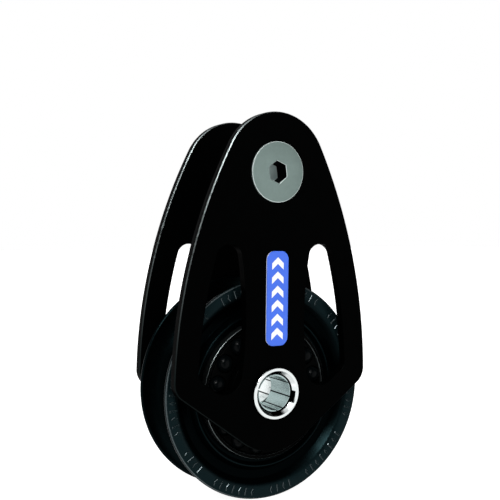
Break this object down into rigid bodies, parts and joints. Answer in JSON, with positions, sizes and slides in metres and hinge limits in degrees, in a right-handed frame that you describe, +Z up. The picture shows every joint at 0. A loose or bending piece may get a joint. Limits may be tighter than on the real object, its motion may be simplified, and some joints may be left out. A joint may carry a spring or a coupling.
{
  "type": "single sheave block",
  "caption": "Single sheave rope block: grooved plastic sheave on roller and ball bearings between two slotted teardrop cheeks, with a hollow axle for a lashing.",
  "frame": {"origin": "middle of the sheave, on its axis", "axes": "+Z up to the head screws, +Y along the sheave's axis from the front cheek to the rear cheek"},
  "size_m": [0.06, 0.027, 0.1024],
  "materials": {
    "black_anodised": "black anodised, satin",
    "black_acetal": "moulded, satin",
    "grey_acetal": "moulded, smooth",
    "satin_steel": "satin, turned",
    "polished_steel": "polished",
    "blue_badge": "gloss, domed edge"
  },
  "bodies": {
    "frame": {"front_cheek": "black_anodised", "front_badge": "blue_badge", "front_head_screw": "satin_steel", "front_axle_screw": "polished_steel", "front_hub_collar": "black_anodised", "rear_cheek": "black_anodised", "rear_badge": "blue_badge", "rear_head_screw": "satin_steel", "rear_axle_screw": "polished_steel", "rear_hub_collar": "black_anodised", "head_post": "satin_steel", "axle_sleeve": "black_anodised"},
    "sheave": {"sheave": "black_acetal", "front_race_ring": "black_acetal", "rear_race_ring": "black_acetal"},
    "roller_train": {"roller_cage": "grey_acetal"},
    "front_ball_train": {"front_ball_cage": "grey_acetal", "front_ball_01": "grey_acetal", "front_ball_02": "grey_acetal", "front_ball_03": "grey_acetal", "front_ball_04": "grey_acetal", "front_ball_05": "grey_acetal", "front_ball_06": "grey_acetal", "front_ball_07": "grey_acetal", "front_ball_08": "grey_acetal", "front_ball_09": "grey_acetal", "front_ball_10": "grey_acetal", "front_ball_11": "grey_acetal", "front_ball_12": "grey_acetal", "front_ball_13": "grey_acetal", "front_ball_14": "grey_acetal", "front_ball_15": "grey_acetal", "front_ball_16": "grey_acetal"},
    "rear_ball_train": {"rear_ball_cage": "grey_acetal", "rear_ball_01": "grey_acetal", "rear_ball_02": "grey_acetal", "rear_ball_03": "grey_acetal", "rear_ball_04": "grey_acetal", "rear_ball_05": "grey_acetal", "rear_ball_06": "grey_acetal", "rear_ball_07": "grey_acetal", "rear_ball_08": "grey_acetal", "rear_ball_09": "grey_acetal", "rear_ball_10": "grey_acetal", "rear_ball_11": "grey_acetal", "rear_ball_12": "grey_acetal", "rear_ball_13": "grey_acetal", "rear_ball_14": "grey_acetal", "rear_ball_15": "grey_acetal", "rear_ball_16": "grey_acetal"},
    "roller_01": {"roller_01": "grey_acetal"},
    "roller_02": {"roller_02": "grey_acetal"},
    "roller_03": {"roller_03": "grey_acetal"},
    "roller_04": {"roller_04": "grey_acetal"},
    "roller_05": {"roller_05": "grey_acetal"},
    "roller_06": {"roller_06": "grey_acetal"},
    "roller_07": {"roller_07": "grey_acetal"},
    "roller_08": {"roller_08": "grey_acetal"},
    "roller_09": {"roller_09": "grey_acetal"},
    "roller_10": {"roller_10": "grey_acetal"}
  },
  "joints": [
    {"name": "sheave_spin", "type": "hinge", "parent": "frame", "child": "sheave", "pos_m": [0, 0, 0], "axis": [0, 1, 0], "continuous": true},
    {"name": "roller_train_orbit", "type": "hinge", "parent": "frame", "child": "roller_train", "pos_m": [0, 0, 0], "axis": [0, 1, 0], "continuous": true},
    {"name": "front_ball_train_orbit", "type": "hinge", "parent": "frame", "child": "front_ball_train", "pos_m": [0, 0, 0], "axis": [0, 1, 0], "continuous": true},
    {"name": "rear_ball_train_orbit", "type": "hinge", "parent": "frame", "child": "rear_ball_train", "pos_m": [0, 0, 0], "axis": [0, 1, 0], "continuous": true},
    {"name": "roller_01_spin", "type": "hinge", "parent": "roller_train", "child": "roller_01", "pos_m": [0, 0, 0.0105], "axis": [0, 1, 0], "continuous": true},
    {"name": "roller_02_spin", "type": "hinge", "parent": "roller_train", "child": "roller_02", "pos_m": [-0.00617, 0, 0.0085], "axis": [0, 1, 0], "continuous": true},
    {"name": "roller_03_spin", "type": "hinge", "parent": "roller_train", "child": "roller_03", "pos_m": [-0.00999, 0, 0.00325], "axis": [0, 1, 0], "continuous": true},
    {"name": "roller_04_spin", "type": "hinge", "parent": "roller_train", "child": "roller_04", "pos_m": [-0.00999, 0, -0.00325], "axis": [0, 1, 0], "continuous": true},
    {"name": "roller_05_spin", "type": "hinge", "parent": "roller_train", "child": "roller_05", "pos_m": [-0.00617, 0, -0.0085], "axis": [0, 1, 0], "continuous": true},
    {"name": "roller_06_spin", "type": "hinge", "parent": "roller_train", "child": "roller_06", "pos_m": [0, 0, -0.0105], "axis": [0, 1, 0], "continuous": true},
    {"name": "roller_07_spin", "type": "hinge", "parent": "roller_train", "child": "roller_07", "pos_m": [0.00617, 0, -0.0085], "axis": [0, 1, 0], "continuous": true},
    {"name": "roller_08_spin", "type": "hinge", "parent": "roller_train", "child": "roller_08", "pos_m": [0.00999, 0, -0.00325], "axis": [0, 1, 0], "continuous": true},
    {"name": "roller_09_spin", "type": "hinge", "parent": "roller_train", "child": "roller_09", "pos_m": [0.00999, 0, 0.00325], "axis": [0, 1, 0], "continuous": true},
    {"name": "roller_10_spin", "type": "hinge", "parent": "roller_train", "child": "roller_10", "pos_m": [0.00617, 0, 0.0085], "axis": [0, 1, 0], "continuous": true}
  ],
  "couplings": [
    {"joint": "roller_train_orbit", "follows": "sheave_spin", "ratio": 0.6095},
    {"joint": "front_ball_train_orbit", "follows": "sheave_spin", "ratio": 0.5},
    {"joint": "rear_ball_train_orbit", "follows": "sheave_spin", "ratio": 0.5},
    {"joint": "roller_01_spin", "follows": "sheave_spin", "ratio": 2.499},
    {"joint": "roller_02_spin", "follows": "sheave_spin", "ratio": 2.499},
    {"joint": "roller_03_spin", "follows": "sheave_spin", "ratio": 2.499},
    {"joint": "roller_04_spin", "follows": "sheave_spin", "ratio": 2.499},
    {"joint": "roller_05_spin", "follows": "sheave_spin", "ratio": 2.499},
    {"joint": "roller_06_spin", "follows": "sheave_spin", "ratio": 2.499},
    {"joint": "roller_07_spin", "follows": "sheave_spin", "ratio": 2.499},
    {"joint": "roller_08_spin", "follows": "sheave_spin", "ratio": 2.499},
    {"joint": "roller_09_spin", "follows": "sheave_spin", "ratio": 2.499},
    {"joint": "roller_10_spin", "follows": "sheave_spin", "ratio": 2.499}
  ]
}
